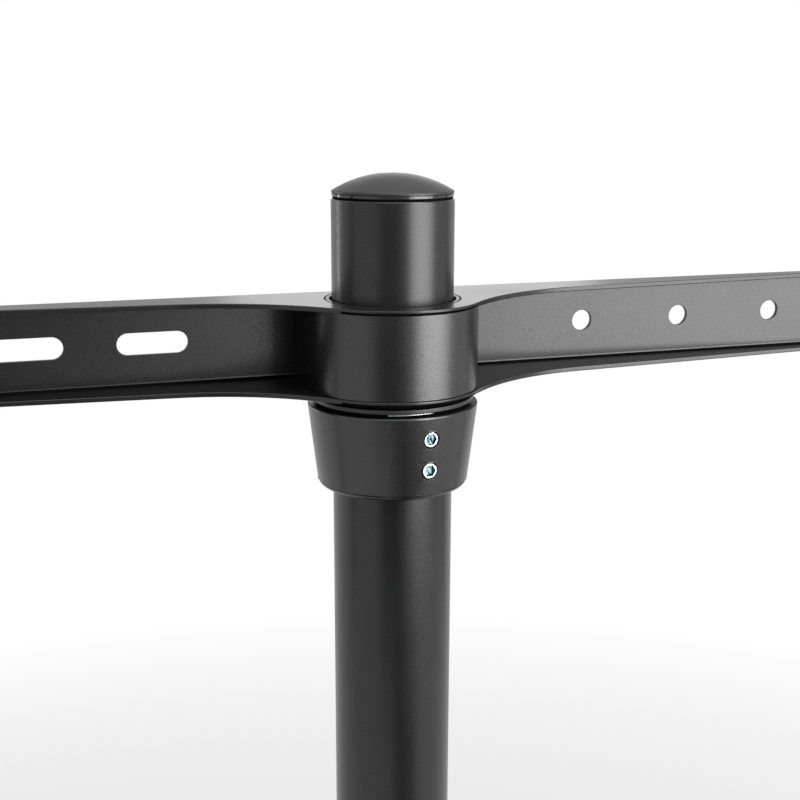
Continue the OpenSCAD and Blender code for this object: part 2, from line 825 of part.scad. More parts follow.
module base_nuts() {
    nut_z = flange_top + washer_t;
    color(zinc) at_base_bolts() translate([0, 0, nut_z]) difference() {
        cylinder(r = nut_r, h = nut_h, $fn = 6);
        translate([0, 0, -overrun]) cylinder(r = base_bolt_r + seat_gap, h = nut_h + 2 * overrun);
    }
}

module foot_cover() {
    outer_r = cover_d / 2;
    bore_r = column_r + cover_gap;
    neck_r = bore_r + cover_wall;
    color(plastic_black) translate([0, 0, glass_top]) rotate_extrude() polygon([
        [outer_r - cover_wall, 0], [outer_r, 0], [outer_r, cover_edge_h], [neck_r, cover_h],
        [bore_r, cover_h], [bore_r, cover_h - 2 * cover_wall],
        [outer_r - cover_wall, cover_edge_h - cover_wall / 2]
    ]);
}

module shelf_glass() {
    color(glass_black) difference() {
        translate([-shelf_w / 2, shelf_rear - shelf_depth, shelf_under]) linear_extrude(shelf_t)
            rounded_rect(shelf_w, shelf_depth, shelf_corner_r);
        translate([0, 0, shelf_under - overrun])
            cylinder(r = column_r + shelf_hole_gap, h = shelf_t + 2 * overrun);
        at_shelf_screws() translate([0, 0, shelf_under - overrun])
            cylinder(r = shelf_screw_r + hole_gap, h = shelf_t + 2 * overrun);
    }
}

module shelf_bracket() {
    color(satin_black) difference() {
        union() {
            translate([-tray_w / 2, tray_rear - tray_depth, tray_z]) linear_extrude(tray_t)
                rounded_rect(tray_w, tray_depth, tray_corner_r);
            translate([0, 0, shelf_hub_z]) cylinder(r = shelf_hub_r, h = shelf_hub_h + tray_t);
        }
        translate([0, 0, shelf_hub_z - overrun])
            cylinder(r = column_r + running_gap, h = shelf_hub_h + tray_t + 2 * overrun);
        at_shelf_screws() translate([0, 0, tray_z - overrun])
            cylinder(r = shelf_screw_r + hole_gap, h = tray_t + 2 * overrun);
        screw_hole(90, hub_upper_screw_z, shelf_hub_r + overrun);
        screw_hole(90, hub_lower_screw_z, shelf_hub_r + overrun);
    }
}

module shelf_pads() {
    color(rubber_black) at_shelf_screws() ring(pad_d / 2, shelf_screw_r + hole_gap, tray_top, shelf_under);
}

module shelf_screws() {
    color(zinc) at_shelf_screws() {
        translate([0, 0, shelf_z]) cylinder(r = shelf_cap_d / 2, h = shelf_cap_h);
        translate([0, 0, shelf_nut_z - shelf_screw_end])
            cylinder(r = shelf_screw_r, h = shelf_z - shelf_nut_z + shelf_screw_end);
    }
}

module shelf_nuts() {
    color(zinc) at_shelf_screws() translate([0, 0, shelf_nut_z]) difference() {
        cylinder(r = small_nut_r, h = small_nut_h, $fn = 6);
        translate([0, 0, -overrun]) cylinder(r = shelf_screw_r + seat_gap, h = small_nut_h + 2 * overrun);
    }
}

module shelf_set_screw_upper() {
    color(zinc) set_screw(90, hub_upper_screw_z, set_screw_length);
}

module shelf_set_screw_lower() {
    color(zinc) set_screw(90, hub_lower_screw_z, set_screw_length);
}

// Springy ring that snaps round the column, with a cable loop behind it
module cable_clip(z) {
    loop_outer_r = clip_loop_r + clip_wall;
    mouth_x = 2 * clip_r * sin(clip_mouth_angle / 2);
    mouth_y = -2 * clip_r * cos(clip_mouth_angle / 2);
    color(plastic_black) translate([0, 0, z - clip_h / 2]) linear_extrude(clip_h) difference() {
        union() {
            circle(clip_r);
            translate([0, clip_loop_y]) circle(loop_outer_r);
        }
        circle(clip_bore_r);
        polygon([[0, 0], [-mouth_x, mouth_y], [mouth_x, mouth_y]]);
        translate([0, clip_loop_y]) circle(clip_loop_r);
        translate([0, clip_loop_y - clip_slit / 2]) square([loop_outer_r + overrun, clip_slit]);
    }
}

module cable_clip_upper() {
    cable_clip(clip_upper_z);
}

module cable_clip_lower() {
    cable_clip(clip_lower_z);
}

column_tube();
column_cap();
swivel_bar();
bar_sleeve();
upper_bush();
lower_bush();
thrust_ring();
stop_pin();
clamp_collar();
set_screw_upper();
set_screw_lower();
tv_rail_left();
tv_rail_right();
rail_saddles();
rail_bolts();
rail_washers();
rail_nuts();
base_glass();
base_feet();
base_bushes();
flange_gasket();
counter_gasket();
foot_flange();
counter_plate();
base_bolts();
base_washers();
base_nuts();
foot_cover();
shelf_glass();
shelf_bracket();
shelf_pads();
shelf_screws();
shelf_nuts();
shelf_set_screw_upper();
shelf_set_screw_lower();
cable_clip_upper();
cable_clip_lower();
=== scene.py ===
# Column television stand: the looks of every piece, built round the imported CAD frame.
# Metres, +Z up. The television hangs on the -Y side, and the camera looks from the rear.
import bmesh
import bpy
import json
from math import atan2, cos, degrees, hypot, pi, radians, sin, sqrt
from mathutils import Matrix, Vector

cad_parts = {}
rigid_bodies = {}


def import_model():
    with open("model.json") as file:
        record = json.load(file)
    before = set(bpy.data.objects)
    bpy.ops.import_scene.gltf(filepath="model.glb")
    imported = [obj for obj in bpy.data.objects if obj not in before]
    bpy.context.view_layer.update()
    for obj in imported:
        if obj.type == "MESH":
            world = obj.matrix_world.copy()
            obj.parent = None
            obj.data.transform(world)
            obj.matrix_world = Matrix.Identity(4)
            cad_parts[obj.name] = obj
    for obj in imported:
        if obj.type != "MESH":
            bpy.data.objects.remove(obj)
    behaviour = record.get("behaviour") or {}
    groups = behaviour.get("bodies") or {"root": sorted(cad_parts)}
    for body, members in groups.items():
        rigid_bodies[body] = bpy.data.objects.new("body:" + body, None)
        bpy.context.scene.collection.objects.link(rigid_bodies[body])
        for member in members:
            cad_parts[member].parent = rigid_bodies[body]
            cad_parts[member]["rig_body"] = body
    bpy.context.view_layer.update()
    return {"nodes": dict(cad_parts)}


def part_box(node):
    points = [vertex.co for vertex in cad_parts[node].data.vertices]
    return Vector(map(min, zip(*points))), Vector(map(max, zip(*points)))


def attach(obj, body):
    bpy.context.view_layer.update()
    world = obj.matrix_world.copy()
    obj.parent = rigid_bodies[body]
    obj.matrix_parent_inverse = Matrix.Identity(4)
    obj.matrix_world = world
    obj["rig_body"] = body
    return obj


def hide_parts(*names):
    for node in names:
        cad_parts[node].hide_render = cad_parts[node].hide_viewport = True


for leftover in list(bpy.data.objects):
    bpy.data.objects.remove(leftover)
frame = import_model()

MM = 0.001

# Camera, solved from the photograph's edges
CAMERA_PLACE = Vector((155.0, 477.2, 1233.3)) * MM
CAMERA_YAW = radians(18.35)
CAMERA_PITCH = radians(13.10)
CAMERA_ROLL = radians(0.15)
LENS = 55.53
SENSOR = 36.0
CLIP_START = 0.01

# Meshes: points closer than MERGE are one point, and the angles are in degrees
MERGE = 1e-6
FLAT_ANGLE = 0.3
SHARP_ANGLE = 28.0
SMOOTH_ANGLE = 50.0
FINE_SMOOTH_ANGLE = 40.0
OUTLINE_STEPS = 4
EDGE_STEPS = 2
TURNS = 144

# Places of the finishes on a piece with broken edges: its own one comes first, then the near-black
# painted shade, then the coat with painted shade inside the bar
SHADE_SLOT = 1
INNER_SHADE_SLOT = 2

# Places of the finishes on the cap
CAP_PLAIN = 0
CAP_BEAD = 1
# The cap's gap and crease take the near-black painted shade
CAP_SHADE = 2


# Shader maths

class Value:
    """A number that varies over the surface, worked out by Math nodes."""

    def __init__(self, finish, socket):
        self.finish = finish
        self.socket = socket

    def math(self, operation, *others, clamp=False):
        settings = {"operation": operation, "use_clamp": clamp}
        values = [self] + list(others)
        return self.finish.node("ShaderNodeMath", settings, dict(enumerate(values))).out()

    def __add__(self, other):
        return self.math("ADD", other)

    def __radd__(self, other):
        return self.math("ADD", other)

    def __sub__(self, other):
        return self.math("SUBTRACT", other)

    def __rsub__(self, other):
        return (self * -1.0).math("ADD", other)

    def __mul__(self, other):
        return self.math("MULTIPLY", other)

    def __rmul__(self, other):
        return self.math("MULTIPLY", other)

    def __truediv__(self, other):
        return self.math("DIVIDE", other)

    def clamped(self):
        return self.math("ADD", 0.0, clamp=True)


class Made:
    """A node with its outputs at hand."""

    def __init__(self, finish, node):
        self.finish = finish
        self.node = node

    def out(self, name=0):
        return Value(self.finish, self.node.outputs[name])


class Finish:
    """A material or a world, built node by node."""

    def __init__(self, name, world=None):
        if world is None:
            self.owner = bpy.data.materials.new(name)
        else:
            self.owner = world
        self.owner.use_nodes = True
        self.tree = self.owner.node_tree
        self.tree.nodes.clear()

    def node(self, kind, settings=None, sockets=None):
        made = self.tree.nodes.new(kind)
        for key, setting in (settings or {}).items():
            setattr(made, key, setting)
        for key, value in (sockets or {}).items():
            if isinstance(value, Value):
                self.tree.links.new(value.socket, made.inputs[key])
            else:
                made.inputs[key].default_value = value
        return Made(self, made)

    def place(self, scale=(1, 1, 1)):
        """The point on the piece, in the stand's own frame, with each axis scaled."""
        coordinates = self.node("ShaderNodeTexCoord").out("Object")
        return self.node("ShaderNodeMapping", None, {"Vector": coordinates, "Scale": scale}).out()

    def noise(self, size, detail=2.0, roughness=0.5, place=None, distortion=0.0):
        """Soft random value from 0 to 1, with grains of about that size in metres."""
        sockets = {
            "Vector": place or self.place(), "Scale": 1.0 / size, "Detail": detail,
            "Roughness": roughness, "Distortion": distortion,
        }
        return self.node("ShaderNodeTexNoise", None, sockets).out("Fac")

    def stretched(self, value, low, high, new_low=0.0, new_high=1.0):
        """The value moved from the range low to high to the new range, and kept inside it."""
        sockets = {
            "Value": value, "From Min": low, "From Max": high,
            "To Min": new_low, "To Max": new_high,
        }
        return self.node("ShaderNodeMapRange", {"clamp": True}, sockets).out()

    def blend(self, share, first, second):
        """First colour where share is 0, second where it is 1."""
        settings = {"data_type": "RGBA", "blend_type": "MIX"}
        made = self.node("ShaderNodeMix", settings, {0: share, 6: first, 7: second})
        return made.out(2)

    def bump(self, height, strength, depth):
        sockets = {"Height": height, "Strength": strength, "Distance": depth}
        return self.node("ShaderNodeBump", None, sockets).out()

    def attribute(self, name):
        return self.node("ShaderNodeAttribute", {"attribute_name": name}).out("Fac")

    def vector_math(self, operation, first, second=None, out="Vector"):
        sockets = {0: first}
        if second is not None:
            sockets[1] = second
        return self.node("ShaderNodeVectorMath", {"operation": operation}, sockets).out(out)

    def shader(self, **sockets):
        values = {name.replace("_", " "): value for name, value in sockets.items()}
        surface = self.node("ShaderNodeBsdfPrincipled", None, values).out()
        self.node("ShaderNodeOutputMaterial", None, {"Surface": surface})
        return self.owner


def grey(level):
    return (level, level, level, 1.0)


def satin_black_coat(name="satin_black_coat", index=1.5, grain=0.035):
    """Powder coat: satin black with a fine grain, a little lighter and shinier on the edges.

    An index other than 1.5 is fitted to the photograph's tones, and is no real coat's: a higher one adds
    painted sheen, a lower one painted shade."""
    dark = (0.0050, 0.0051, 0.0053, 1)
    light = (0.0072, 0.0073, 0.0076, 1)
    edge_colour = (0.014, 0.014, 0.0145, 1)
    wear = 0.5
    speck_gloss = 0.20
    edge_gloss = 0.08
    peel_share = 0.3
    coat = Finish(name)
    peel = coat.noise(size=0.0008, detail=1.0)
    drift = coat.noise(size=0.045, detail=3.0)
    speck = coat.noise(size=0.00030, detail=0.0)
    edge = coat.attribute("edge")
    colour = coat.blend(coat.stretched(drift, low=0.35, high=0.65), dark, light)
    worn = coat.blend((edge * wear).clamped(), colour, edge_colour)
    gloss = coat.stretched(drift, low=0.3, high=0.7, new_low=0.26, new_high=0.30)
    gloss = gloss + (speck - 0.5) * speck_gloss - edge * edge_gloss
    skin = coat.bump(peel * peel_share + speck, strength=grain, depth=0.0002)
    return coat.shader(Base_Color=worn, Roughness=gloss, Normal=skin, IOR=index)


def moulded_black_plastic():
    """Injection-moulded cap and covers: fine grain, a little softer in gloss than the coat."""
    dark = (0.0125, 0.0126, 0.0130, 1)
    light = (0.0165, 0.0166, 0.0170, 1)
    edge_colour = (0.03, 0.03, 0.031, 1)
    wear = 0.4
    grain_gloss = 0.04
    plastic = Finish("moulded_black_plastic")
    grain = plastic.noise(size=0.0006, detail=2.0)
    drift = plastic.noise(size=0.02, detail=2.0)
    edge = plastic.attribute("edge")
    colour = plastic.blend(plastic.stretched(drift, low=0.3, high=0.7), dark, light)
    worn = plastic.blend((edge * wear).clamped(), colour, edge_colour)
    gloss = plastic.stretched(drift, low=0.3, high=0.7, new_low=0.36, new_high=0.42) + grain * grain_gloss
    skin = plastic.bump(grain, strength=0.10, depth=0.0003)
    return plastic.shader(Base_Color=worn, Roughness=gloss, Normal=skin, IOR=1.5)


def glossy_black_plastic():
    """Polished band under the cap's dome."""
    dark = (0.010, 0.010, 0.0105, 1)
    light = (0.014, 0.014, 0.0145, 1)
    plastic = Finish("glossy_black_plastic")
    drift = plastic.noise(size=0.006, detail=2.0)
    colour = plastic.blend(drift, dark, light)
    gloss = plastic.stretched(drift, low=0.3, high=0.7, new_low=0.08, new_high=0.13)
    skin = plastic.bump(drift, strength=0.03, depth=0.0003)
    return plastic.shader(Base_Color=colour, Roughness=gloss, Normal=skin, IOR=1.6)


def painted_shade_black():
    """Painted shade: a near-black finish laid where shade falls, in the cap's grooves, the bar's joints
    and inner corner, the bush's bore and rim, the thrust ring's necks and the screw mouths. Its index is
    fitted."""
    dark = (0.002, 0.002, 0.002, 1)
    light = (0.005, 0.005, 0.005, 1)
    groove = Finish("painted_shade_black")
    grain = groove.noise(size=0.0008, detail=2.0)
    colour = groove.blend(grain, dark, light)
    gloss = groove.stretched(grain, low=0.3, high=0.7, new_low=0.85, new_high=0.95)
    skin = groove.bump(grain, strength=0.1, depth=0.0002)
    return groove.shader(Base_Color=colour, Roughness=gloss, Normal=skin, IOR=1.06)


def black_nylon():
    """Bushes: matt, slightly greyer plastic with a fine grain."""
    dark = (0.012, 0.012, 0.0125, 1)
    light = (0.018, 0.018, 0.0185, 1)
    edge_colour = (0.035, 0.035, 0.036, 1)
    wear = 0.5
    nylon = Finish("black_nylon")
    grain = nylon.noise(size=0.0005, detail=3.0)
    edge = nylon.attribute("edge")
    colour = nylon.blend(grain, dark, light)
    worn = nylon.blend((edge * wear).clamped(), colour, edge_colour)
    gloss = nylon.stretched(grain, low=0.3, high=0.7, new_low=0.30, new_high=0.38)
    skin = nylon.bump(grain, strength=0.12, depth=0.0002)
    return nylon.shader(Base_Color=worn, Roughness=gloss, Normal=skin, IOR=1.53)


def black_rubber():
    """Feet, pads and gaskets: matt with a fine moulded grain and patches of dust."""
    clean_colour = (0.010, 0.010, 0.010, 1)
    dust_colour = (0.030, 0.029, 0.028, 1)
    rubber = Finish("black_rubber")
    grain = rubber.noise(size=0.0009, detail=4.0, roughness=0.6)
    dust = rubber.noise(size=0.012, detail=3.0)
    dusty = rubber.stretched(dust, low=0.45, high=0.8, new_low=0.0, new_high=0.35)
    colour = rubber.blend(dusty, clean_colour, dust_colour)
    gloss = rubber.stretched(grain, low=0.3, high=0.7, new_low=0.66, new_high=0.82)
    skin = rubber.bump(grain, strength=0.35, depth=0.0004)
    return rubber.shader(Base_Color=colour, Roughness=gloss, Normal=skin, IOR=1.52)


def zinc_plate():
    """Bright zinc-plated steel with a cool tint, fine marks and brighter edges."""
    dull = (0.50, 0.55, 0.60, 1)
    clear = (0.62, 0.67, 0.72, 1)
    edge_colour = (0.78, 0.80, 0.83, 1)
    wear = 0.6
    plate = Finish("zinc_plate")
    marks = plate.noise(size=0.0007, detail=3.0)
    cloud = plate.noise(size=0.004, detail=2.0)
    edge = plate.attribute("edge")
    colour = plate.blend(plate.stretched(cloud, low=0.3, high=0.7), dull, clear)
    bright = plate.blend((edge * wear).clamped(), colour, edge_colour)
    gloss = plate.stretched(marks, low=0.3, high=0.7, new_low=0.24, new_high=0.38)
    skin = plate.bump(marks, strength=0.12, depth=0.0002)
    return plate.shader(Base_Color=bright, Roughness=gloss, Normal=skin, Metallic=1.0)


def zinc_screw():
    """Set screws: bright bluish zinc, with painted shade in the socket: dark teal, crossed by bright
    streaks.
    """
    ring_dark = (0.58, 0.65, 0.69, 1)
    ring_light = (0.86, 0.90, 0.92, 1)
    # Painted shade: the socket's colours stand far darker than the ring for the shade in the recess
    socket_shade_dark = (0.003, 0.022, 0.030, 1)
    socket_shade_light = (0.22, 0.31, 0.34, 1)
    streak_share = 0.5
    screw = Finish("zinc_screw")
    marks = screw.noise(size=0.0005, detail=3.0)
    upright = screw.place(scale=(1.0, 1.0, 0.55))
    streaks = screw.noise(size=0.0009, detail=3.0, place=upright, distortion=1.2)
    socket = screw.attribute("socket")
    ring = screw.blend(screw.stretched(marks, low=0.3, high=0.7), ring_dark, ring_light)
    # The socket's painted shade, with its streaks
    deep = screw.blend(screw.stretched(streaks, low=0.46, high=0.56), socket_shade_dark, socket_shade_light)
    colour = screw.blend(socket, ring, deep)
    gloss = screw.stretched(marks, low=0.3, high=0.7, new_low=0.26, new_high=0.40)
    skin = screw.bump(marks + streaks * streak_share, strength=0.30, depth=0.0003)
    return screw.shader(Base_Color=colour, Roughness=gloss, Normal=skin, Metallic=1.0)


def tempered_black_glass():
    """Back-painted tempered glass: deep black under a polished face, duller on the edges."""
    face_colour = (0.0045, 0.0050, 0.0055, 1)
    edge_colour = (0.012, 0.017, 0.016, 1)
    edge_share = 0.8
    edge_gloss = 0.10
    glass = Finish("tempered_black_glass")
    haze = glass.noise(size=0.06, detail=4.0)
    dust = glass.noise(size=0.0016, detail=3.0)
    edge = glass.attribute("edge")
    colour = glass.blend((edge * edge_share).clamped(), face_colour, edge_colour)
    hazy = glass.stretched(haze, low=0.35, high=0.7, new_low=0.04, new_high=0.10)
    dusty = glass.stretched(dust, low=0.6, high=0.8, new_low=0.0, new_high=0.10)
    gloss = hazy + dusty + edge * edge_gloss
    waves = glass.noise(size=0.09, detail=1.0)
    skin = glass.bump(waves, strength=0.05, depth=0.0008)
    return glass.shader(Base_Color=colour, Roughness=gloss, Normal=skin, IOR=1.52)


FINISHES = {
    "satin_black_steel": satin_black_coat(),
    "moulded_black": moulded_black_plastic(),
    "black_nylon": black_nylon(),
    "black_rubber": black_rubber(),
    "zinc_steel": zinc_plate(),
    "black_glass": tempered_black_glass(),
}
BAND_FINISH = glossy_black_plastic()
SHADE_FINISH = painted_shade_black()
# Copies of the coat with fitted indexes: a grainier one with painted sheen for the collar and the sleeve,
# and one with painted shade for the inside of the bar
GRAINED_SHEEN_FINISH = satin_black_coat("grained_sheen_coat", index=1.63, grain=0.085)
INNER_SHADE_FINISH = satin_black_coat("inner_shade_coat", index=1.18, grain=0.035)
SCREW_FINISH = zinc_screw()


# Meshes

def plain_piece(name, bm, finishes):
    """A new object at the origin with that mesh."""
    mesh = bpy.data.meshes.new(name)
    bm.to_mesh(mesh)
    bm.free()
    piece = bpy.data.objects.new(name, mesh)
    bpy.context.scene.collection.objects.link(piece)
    for finish in finishes:
        mesh.materials.append(finish)
    return piece


def smoothed(piece, angle):
    """Smooth shading up to that angle in degrees, with big faces keeping their own direction."""
    mesh = piece.data
    mesh.shade_smooth()
    mesh.set_sharp_from_angle(angle=radians(angle))
    weigh = piece.modifiers.new("weigh", "WEIGHTED_NORMAL")
    weigh.keep_sharp = True
    bpy.context.view_layer.update()
    evaluated = piece.evaluated_get(bpy.context.evaluated_depsgraph_get())
    finished = bpy.data.meshes.new_from_object(evaluated)
    finished.name = piece.name
    piece.modifiers.clear()
    piece.data = finished
    bpy.data.meshes.remove(mesh)
    return piece


def settle(piece, body, slot, *nodes):
    """The piece rides on its body and stands for those CAD nodes."""
    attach(piece, body)
    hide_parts(*nodes)
    return piece


def slot_of(node):
    return frame["nodes"][node].data.materials[0].name.split(".")[0]


def body_of(node):
    return frame["nodes"][node]["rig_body"]


def rounded(bm, edge_layer, edges, width, segments, dark=False):
    """Rounds those edges. The new faces are marked as edge faces, and when dark is set they take the
    near-black painted shade instead.
    """
    made = bmesh.ops.bevel(
        bm, geom=edges, offset=width, offset_type="OFFSET", segments=segments, profile=0.5,
        affect="EDGES", clamp_overlap=False,
    )
    for face in made["faces"]:
        face[edge_layer] = 0.0 if dark else 1.0
        if dark:
            face.material_index = SHADE_SLOT


def sharp_edges(bm):
    return [e for e in bm.edges if e.is_manifold and e.calc_face_angle() > radians(SHARP_ANGLE)]


def broken_edges(name, node, width, passes=(), shape=None, mark=None, finish=None):
    """The CAD node's form with every sharp edge broken, as a deburred and coated part has.

    passes lists edges that are rounded first, in finer steps: a test, a width and whether they take
    the near-black painted shade. shape changes the merged mesh before that, and mark marks faces after."""
    bm = bmesh.new()
    bm.from_mesh(frame["nodes"][node].data)
    bmesh.ops.remove_doubles(bm, verts=bm.verts, dist=MERGE)
    bmesh.ops.dissolve_limit(bm, angle_limit=radians(FLAT_ANGLE), verts=bm.verts, edges=bm.edges)
    if shape:
        shape(bm)
    edge_layer = bm.faces.layers.float.new("edge")
    for test, own_width, dark in passes:
        picked = [e for e in sharp_edges(bm) if test(e)]
        rounded(bm, edge_layer, picked, own_width, OUTLINE_STEPS, dark)
    rounded(bm, edge_layer, sharp_edges(bm), width, EDGE_STEPS)
    if mark:
        mark(bm)
    record_slot = slot_of(node)
    piece = plain_piece(name, bm, [finish or FINISHES[record_slot], SHADE_FINISH, INNER_SHADE_FINISH])
    smoothed(piece, SMOOTH_ANGLE)
    return settle(piece, body_of(node), record_slot, node)


def turned(name, profile, finishes, bands=None, angle=FINE_SMOOTH_ANGLE):
    """A turned shell. The profile is closed: points (radius, height, is_edge) against the clock."""
    bm = bmesh.new()
    edge = bm.faces.layers.float.new("edge")
    rings = []
    for radius, height, _ in profile:
        if radius < MERGE:
            rings.append([bm.verts.new((0.0, 0.0, height))] * TURNS)
            continue
        ring = []
        for i in range(TURNS):
            way = 2 * pi * i / TURNS
            ring.append(bm.verts.new((radius * cos(way), radius * sin(way), height)))
        rings.append(ring)
    for j, (_, _, is_edge) in enumerate(profile):
        low = rings[j]
        high = rings[(j + 1) % len(rings)]
        if low[0] is low[1] and high[0] is high[1]:
            continue
        for i in range(TURNS):
            k = (i + 1) % TURNS
            corners = []
            for corner in (low[i], low[k], high[k], high[i]):
                if corner not in corners:
                    corners.append(corner)
            face = bm.faces.new(corners)
            face[edge] = float(is_edge)
            if bands:
                face.material_index = bands[j]
    bmesh.ops.recalc_face_normals(bm, faces=bm.faces)
    return smoothed(plain_piece(name, bm, finishes), angle)


def arc(mid_r, mid_z, radius, start, end, steps, is_edge=True):
    """Points of a circular arc in a profile, angles in degrees from outwards."""
    points = []
    for i in range(steps + 1):
        way = radians(start + (end - start) * i / steps)
        points.append((mid_r + radius * cos(way), mid_z + radius * sin(way), is_edge and i < steps))
    return points


# Column and cap

def make_column():
    """Column tube with its cut ends deburred."""
    low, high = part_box("column_tube")
    outer = high.x
    bore = outer - 2 * MM
    rim = 0.6 * MM
    rim_steps = 6
    burr = 0.2 * MM
    profile = [(bore, low.z, False), (outer - rim, low.z, True), (outer, low.z + rim, False)]
    profile += arc(outer - rim, high.z - rim, rim, 0, 90, rim_steps)
    profile += [(bore + burr, high.z, True), (bore, high.z - burr, False)]
    column = turned("column", profile, [FINISHES["satin_black_steel"]])
    return settle(column, "stand", "satin_black_steel", "column_tube")


def make_cap():
    """Domed cap: plug in the tube, gap, polished bead, fine crease, dome with a rounded rim; the gap and
    the crease are painted shade.
    """
    tube_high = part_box("column_tube")[1]
    cap_low, cap_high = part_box("column_cap")
    tube_r = tube_high.x
    rim_r = cap_high.x
    seat_z = tube_high.z
    plug_low = cap_low.z
    plug_r = tube_r - 2.05 * MM
    plug_core = plug_r - 2 * MM
    plug_edge = 0.4 * MM
    neck_r = tube_r - 0.70 * MM
    bead_r = tube_r - 0.30 * MM
    bead_low = seat_z + 0.92 * MM
    bead_high = seat_z + 2.08 * MM
    bead_edge = 0.16 * MM
    bead_steps = 3
    crease_r = tube_r - 0.65 * MM
    rim_z = seat_z + 2.62 * MM
    rim_edge = 0.40 * MM
    rim_steps = 5
    dome_z = rim_z + rim_edge
    top_z = cap_high.z + 0.3 * MM
    rise = top_z - dome_z
    ball_r = (rim_r * rim_r + rise * rise) / (2 * rise)
    ball_z = top_z - ball_r
    fillet = 1.3 * MM
    fillet_r = rim_r - fillet
    fillet_z = ball_z + sqrt((ball_r - fillet) ** 2 - fillet_r * fillet_r)
    fillet_end = degrees(atan2(fillet_z - ball_z, fillet_r))
    fillet_steps = 6
    join_r = ball_r * cos(radians(fillet_end))
    dome_steps = 28
    profile = [(plug_core, plug_low, False), (plug_r - plug_edge, plug_low, True)]
    profile += [(plug_r, plug_low + plug_edge, False)]
    bands = [CAP_PLAIN] * len(profile)
    neck = [(plug_r, seat_z, False), (neck_r, seat_z, False), (neck_r, bead_low, False)]
    profile += neck
    bands += [CAP_SHADE] * len(neck)
    bead = arc(bead_r - bead_edge, bead_low + bead_edge, bead_edge, -90, 0, bead_steps, False)
    bead += arc(bead_r - bead_edge, bead_high - bead_edge, bead_edge, 0, 90, bead_steps, False)
    profile += bead
    bands += [CAP_BEAD] * (len(bead) - 1) + [CAP_SHADE]
    crease = [(crease_r, bead_high, False), (crease_r, rim_z, False)]
    profile += crease
    bands += [CAP_SHADE] * len(crease)
    dome = arc(rim_r - rim_edge, rim_z + rim_edge, rim_edge, -90, 0, rim_steps)
    dome += arc(fillet_r, fillet_z, fillet, 0, fillet_end, fillet_steps, False)
    for i in range(1, dome_steps):
        r = join_r * sqrt(1 - (i / dome_steps) ** 2)
        dome.append((r, ball_z + sqrt(ball_r * ball_r - r * r), False))
    dome += [(0.0, top_z, False), (0.0, seat_z, False), (plug_core, seat_z, False)]
    profile += dome
    bands += [CAP_PLAIN] * len(dome)
    finishes = [FINISHES["moulded_black"], BAND_FINISH, SHADE_FINISH]
    cap = turned("column_cap_dome", profile, finishes, bands, angle=SMOOTH_ANGLE)
    return settle(cap, "stand", "moulded_black", "column_cap")


make_column()
make_cap()


# Pieces with broken edges

# Width of the rounding on each node's sharp edges, in millimetres
BROKEN_EDGES = {
    "swivel_bar": 0.25, "bar_sleeve": 0.25, "upper_bush": 0.30, "lower_bush": 0.30,
    "thrust_ring": 0.30, "clamp_collar": 0.15, "set_screw_upper": 0.10, "set_screw_lower": 0.10,
    "tv_rail_left": 0.30, "tv_rail_right": 0.30, "rail_saddles": 0.40, "rail_bolts": 0.35,
    "rail_washers": 0.20, "rail_nuts": 0.35, "base_glass": 1.2, "base_feet": 2.0,
    "flange_gasket": 0.30, "counter_gasket": 0.30, "foot_flange": 0.6, "counter_plate": 0.5,
    "base_bolts": 0.35, "base_washers": 0.20, "base_nuts": 0.35, "foot_cover": 0.5,
    "shelf_glass": 1.0, "shelf_bracket": 0.5, "shelf_pads": 0.25, "shelf_screws": 0.35,
    "shelf_nuts": 0.30, "shelf_set_screw_upper": 0.25, "shelf_set_screw_lower": 0.25,
    "cable_clip_upper": 0.45, "cable_clip_lower": 0.45,
}
HEAD_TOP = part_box("swivel_bar")[1].z
BAR_WALL = 2 * MM
BAR_DEPTH = HEAD_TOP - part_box("swivel_bar")[0].z
# Heights this near to each other are the same level
HAIR = 0.02 * MM

# How far a face points up or down: 0 for an upright face, 1 for a level one
UPRIGHT = 0.3
LEVEL = 0.9
FACING_UP = 0.98
TILTED_UP = 0.45

# Distances from the column's axis that tell the head's edges and faces apart
BORE_REACH = 25.5 * MM
BUSH_REACH = 27 * MM
BUSH_OUTSIDE = 27.5 * MM
SLIM_BUSH = 27.7 * MM
HOLE_REACH = 29 * MM
PLATE_REACH = 30 * MM
COLLAR_FOOT_INSIDE = 30 * MM
COLLAR_FOOT_OUTSIDE = 31.5 * MM
NECK_REACH = 33.0 * MM
COLLAR_TOP_REACH = 33 * MM
SLEEVE_REACH = 36.4 * MM
# Where the bush's hole meets the bar's upright wall
WALL_SIDE = -24 * MM

# Sockets of the collar's set screws, whose points lie near the screw's middle line
SOCKET_NEAR = 2.0 * MM
SOCKET_FROM = -1.5 * MM
SOCKET_RIM = 0.5 * MM
SOCKET_SCALE = 1.46
SOCKET_DEPTH = 1.1 * MM
SOCKET_REACH = 2.72 * MM

# Whether the faces of a rounding take the near-black painted shade
PAINTED_SHADE = True
LIT = False


def level_edge(edge):
    """Whether one of the edge's faces is level and the other one upright."""
    tilts = sorted(abs(face.normal.z) for face in edge.link_faces)
    return tilts[0] < UPRIGHT and tilts[1] > LEVEL


def off_axis(point):
    """Level distance of a point from the column's axis."""
    return hypot(point.x, point.y)


def on_level(edge, *depths):
    """Whether an edge lies at one of those depths under the bar's top."""
    return all(min(abs(HEAD_TOP - vert.co.z - depth) for depth in depths) < HAIR for vert in edge.verts)


def bar_outline(edge):
    """Outline of the bar's two plates, away from the bush holes."""
    levels = (0.0, BAR_WALL, BAR_DEPTH - BAR_WALL, BAR_DEPTH)
    outside = all(off_axis(vert.co) > PLATE_REACH for vert in edge.verts)
    return level_edge(edge) and outside and on_level(edge, *levels)


